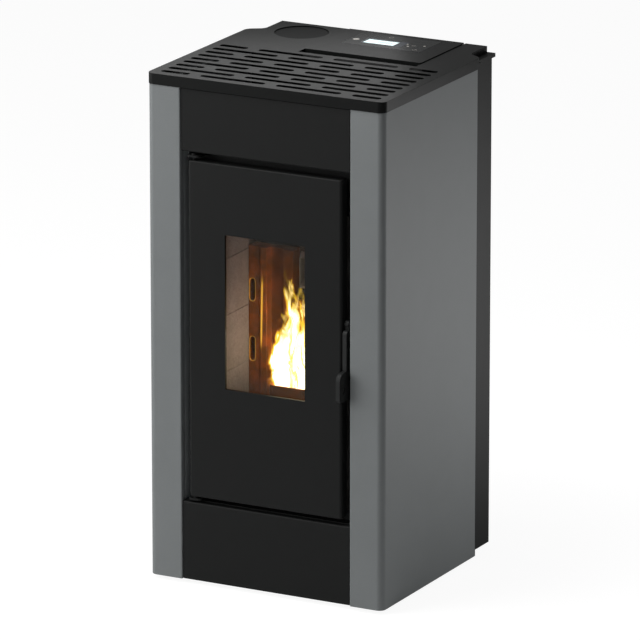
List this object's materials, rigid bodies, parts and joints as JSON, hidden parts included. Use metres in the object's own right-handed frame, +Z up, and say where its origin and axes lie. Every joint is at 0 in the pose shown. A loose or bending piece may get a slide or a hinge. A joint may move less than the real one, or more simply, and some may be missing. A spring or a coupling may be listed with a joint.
{
  "type": "pellet stove",
  "caption": "Free-standing pellet stove: grey side panels, glazed fire door with a lever, slotted top with a lifting hopper lid, and the firebox, auger, fans and flue outlet inside.",
  "frame": {"origin": "on the floor, under the middle of the stove's bounding box", "axes": "+Z up, -Y towards the fire door, +X to the stove's right as seen from the front"},
  "size_m": [0.48, 0.533, 0.9517],
  "materials": {
    "grey_paint": "fine satin powder coat",
    "black_paint": "fine matt black powder coat",
    "cover_paint": "fine matt anthracite powder coat",
    "hot_steel": "heat-darkened matt steel",
    "zinc_sheet": "galvanised sheet",
    "cast_iron": "raw cast iron with soot",
    "fire_board": "pale pressed mineral board with soot; a matt mineral board stands for it",
    "bright_steel": "turned steel",
    "motor_steel": "dull plated steel",
    "dark_plastic": "matt black plastic",
    "glossy_fascia": "glossy dark touch panel",
    "fibre_rope": "woven glass-fibre seal",
    "seal_rubber": "soft black seal",
    "ceramic_glass": "clear ceramic glass with a slight brown tint",
    "lcd_glass": "lit pale display"
  },
  "bodies": {
    "stove": {"base_plate": "zinc_sheet", "left_side_panel": "grey_paint", "right_side_panel": "grey_paint", "rear_panel": "black_paint", "lower_front_panel": "black_paint", "upper_front_panel": "black_paint", "front_frame": "black_paint", "top_cover": "cover_paint", "lid_hinge_pin": "bright_steel", "hopper": "zinc_sheet", "hopper_gasket": "seal_rubber", "hopper_grille": "bright_steel", "auger_tube": "zinc_sheet", "auger_motor": "motor_steel", "pellet_chute": "zinc_sheet", "firebox_body": "hot_steel", "back_liner": "cast_iron", "left_liner": "fire_board", "right_liner": "fire_board", "baffle_plate": "fire_board", "heat_exchanger": "hot_steel", "burn_pot_holder": "hot_steel", "igniter": "bright_steel", "smoke_duct": "hot_steel", "extractor_housing": "zinc_sheet", "extractor_motor": "motor_steel", "flue_collar": "hot_steel", "air_intake_pipe": "zinc_sheet", "blower_housing": "zinc_sheet", "blower_motor": "motor_steel", "upper_hinge_bracket": "motor_steel", "upper_hinge_pin": "bright_steel", "lower_hinge_bracket": "motor_steel", "lower_hinge_pin": "bright_steel", "latch_keeper": "motor_steel", "main_board": "dark_plastic", "power_inlet": "dark_plastic", "thermostat_cap": "dark_plastic"},
    "door": {"door_panel": "black_paint", "door_frame": "hot_steel", "door_glass": "ceramic_glass", "glass_seal": "fibre_rope", "door_gasket": "fibre_rope", "handle_pin": "bright_steel"},
    "handle": {"door_handle": "black_paint"},
    "lid": {"hopper_lid": "cover_paint", "control_fascia": "glossy_fascia", "display_lcd": "lcd_glass", "display_housing": "dark_plastic"},
    "burn_pot": {"burn_pot": "cast_iron"},
    "ash_pan": {"ash_pan": "zinc_sheet"},
    "flue_cover": {"flue_cover_disc": "cover_paint"},
    "auger": {"auger_screw": "bright_steel"},
    "extractor_wheel": {"extractor_impeller": "bright_steel"},
    "blower_wheel": {"blower_rotor": "bright_steel"},
    "front_left_foot": {"front_left_foot": "dark_plastic"},
    "front_right_foot": {"front_right_foot": "dark_plastic"},
    "rear_left_foot": {"rear_left_foot": "dark_plastic"},
    "rear_right_foot": {"rear_right_foot": "dark_plastic"},
    "switch_rocker": {"power_switch": "dark_plastic"}
  },
  "joints": [
    {"name": "door_hinge", "type": "hinge", "parent": "stove", "child": "door", "pos_m": [-0.147, -0.2315, 0.483], "axis": [0, 0, -1], "range_deg": [0, 100]},
    {"name": "handle_pivot", "type": "hinge", "parent": "door", "child": "handle", "pos_m": [0.1613, -0.2265, 0.532], "axis": [-1, 0, 0], "range_deg": [0, 40]},
    {"name": "lid_hinge", "type": "hinge", "parent": "stove", "child": "lid", "pos_m": [0.0475, 0.2185, 0.9485], "axis": [-1, 0, 0], "range_deg": [0, 85]},
    {"name": "burn_pot_lift", "type": "slide", "parent": "stove", "child": "burn_pot", "axis": [0, 0, 1], "range_m": [0, 0.06]},
    {"name": "ash_pan_draw", "type": "slide", "parent": "stove", "child": "ash_pan", "axis": [0, -1, 0], "range_m": [0, 0.012]},
    {"name": "flue_cover_lift", "type": "slide", "parent": "stove", "child": "flue_cover", "axis": [0, 0, 1], "range_m": [0, 0.03]},
    {"name": "auger_spin", "type": "hinge", "parent": "stove", "child": "auger", "pos_m": [0, 0.1445, 0.47], "axis": [0, -0.5547, 0.8321], "continuous": true},
    {"name": "extractor_spin", "type": "hinge", "parent": "stove", "child": "extractor_wheel", "pos_m": [-0.15, 0.0595, 0.11], "axis": [0, 1, 0], "continuous": true},
    {"name": "blower_spin", "type": "hinge", "parent": "stove", "child": "blower_wheel", "pos_m": [0.02, 0.0645, 0.104], "axis": [1, 0, 0], "continuous": true},
    {"name": "switch_rock", "type": "hinge", "parent": "stove", "child": "switch_rocker", "pos_m": [0.15, 0.2185, 0.103], "axis": [1, 0, 0], "range_deg": [0, 12]},
    {"name": "front_left_foot_turn", "type": "hinge", "parent": "stove", "child": "front_left_foot", "pos_m": [-0.196, -0.1885, 0.01], "axis": [0, 0, 1], "continuous": true},
    {"name": "front_right_foot_turn", "type": "hinge", "parent": "stove", "child": "front_right_foot", "pos_m": [0.196, -0.1885, 0.01], "axis": [0, 0, 1], "continuous": true},
    {"name": "rear_left_foot_turn", "type": "hinge", "parent": "stove", "child": "rear_left_foot", "pos_m": [-0.196, 0.1645, 0.01], "axis": [0, 0, 1], "continuous": true},
    {"name": "rear_right_foot_turn", "type": "hinge", "parent": "stove", "child": "rear_right_foot", "pos_m": [0.196, 0.1645, 0.01], "axis": [0, 0, 1], "continuous": true}
  ]
}
